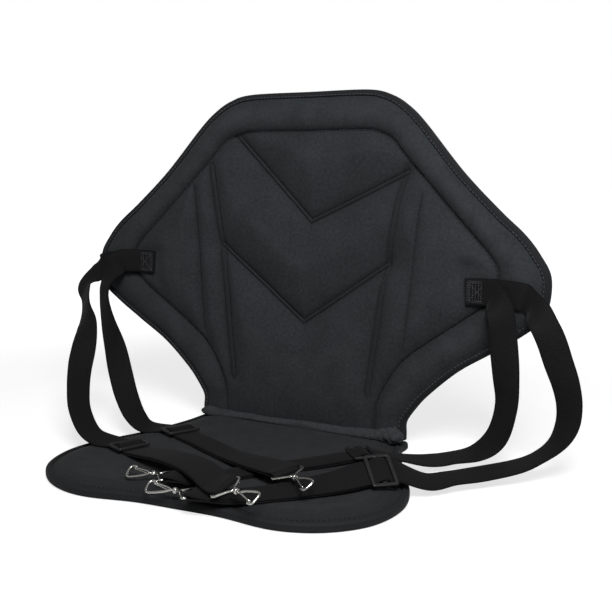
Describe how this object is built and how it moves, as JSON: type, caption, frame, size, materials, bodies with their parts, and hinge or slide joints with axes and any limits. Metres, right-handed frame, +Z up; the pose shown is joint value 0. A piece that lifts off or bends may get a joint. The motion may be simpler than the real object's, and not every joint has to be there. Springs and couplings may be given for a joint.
{
  "type": "kayak seat",
  "caption": "Padded fold-up kayak seat: quilted winged backrest joined to a flat seat pad, with adjustable side straps that end in swivel snap hooks.",
  "frame": {"origin": "on the floor plane under the middle of the seat pad", "axes": "+Z up, the sitter faces -Y, +X is to the side, from the seat's left in the picture to its right"},
  "size_m": [0.556, 0.2814, 0.352],
  "materials": {
    "shell_fabric": "matt woven",
    "lining_fabric": "matt woven",
    "edge_tape": "ribbed tape",
    "webbing": "ribbed webbing",
    "slider_plastic": "satin",
    "hook_wire": "bright nickel plate"
  },
  "bodies": {
    "root": {"backrest_binding": "edge_tape", "backrest_pad": "shell_fabric", "backrest_rear_panel": "lining_fabric", "fold_gusset": "lining_fabric", "fold_welt": "shell_fabric", "hook_1_eye": "hook_wire", "hook_1_ferrule": "hook_wire", "hook_2_eye": "hook_wire", "hook_2_ferrule": "hook_wire", "hook_3_eye": "hook_wire", "hook_3_ferrule": "hook_wire", "hook_4_eye": "hook_wire", "hook_4_ferrule": "hook_wire", "seat_binding": "edge_tape", "seat_pad": "shell_fabric", "seat_underside": "lining_fabric", "slider_left_inner": "slider_plastic", "slider_left_outer": "slider_plastic", "slider_right_inner": "slider_plastic", "slider_right_outer": "slider_plastic", "strap_left_inner": "webbing", "strap_left_outer": "webbing", "strap_right_inner": "webbing", "strap_right_outer": "webbing"},
    "hook_1": {"hook_1_body": "hook_wire"},
    "gate_1": {"hook_1_gate": "hook_wire"},
    "hook_2": {"hook_2_body": "hook_wire"},
    "gate_2": {"hook_2_gate": "hook_wire"},
    "hook_3": {"hook_3_body": "hook_wire"},
    "gate_3": {"hook_3_gate": "hook_wire"},
    "hook_4": {"hook_4_body": "hook_wire"},
    "gate_4": {"hook_4_gate": "hook_wire"}
  },
  "joints": [
    {"name": "hook_1_swivel", "type": "hinge", "parent": "root", "child": "hook_1", "pos_m": [-0.01733, -0.09773, 0.01944], "axis": [-0.9897, -0.1391, -0.0349], "continuous": true},
    {"name": "hook_1_gate", "type": "hinge", "parent": "hook_1", "child": "gate_1", "pos_m": [-0.02109, -0.09825, 0.01931], "axis": [0.0492, -0.5578, 0.8285], "range_deg": [0, 22], "stiffness_Nm_per_rad": 0.02, "springref_deg": -5.73},
    {"name": "hook_2_swivel", "type": "hinge", "parent": "root", "child": "hook_2", "pos_m": [0.0222, -0.1205, 0.01855], "axis": [-0.9873, -0.1564, 0.0279], "continuous": true},
    {"name": "hook_2_gate", "type": "hinge", "parent": "hook_2", "child": "gate_2", "pos_m": [0.01845, -0.1211, 0.01865], "axis": [0.1103, -0.5487, 0.8287], "range_deg": [0, 22], "stiffness_Nm_per_rad": 0.02, "springref_deg": -5.73},
    {"name": "hook_3_swivel", "type": "hinge", "parent": "root", "child": "hook_3", "pos_m": [0.07903, -0.11747, 0.02682], "axis": [0.9394, -0.3419, 0.0262], "continuous": true},
    {"name": "hook_3_gate", "type": "hinge", "parent": "hook_3", "child": "gate_3", "pos_m": [0.0826, -0.11877, 0.02692], "axis": [-0.2209, -0.5451, 0.8087], "range_deg": [0, 22], "stiffness_Nm_per_rad": 0.02, "springref_deg": -5.73},
    {"name": "hook_4_swivel", "type": "hinge", "parent": "root", "child": "hook_4", "pos_m": [0.10226, -0.06694, 0.02662], "axis": [0.8288, -0.559, 0.0262], "continuous": true},
    {"name": "hook_4_gate", "type": "hinge", "parent": "hook_4", "child": "gate_4", "pos_m": [0.10541, -0.06907, 0.02672], "axis": [-0.3462, -0.4755, 0.8087], "range_deg": [0, 22], "stiffness_Nm_per_rad": 0.02, "springref_deg": -5.73}
  ]
}
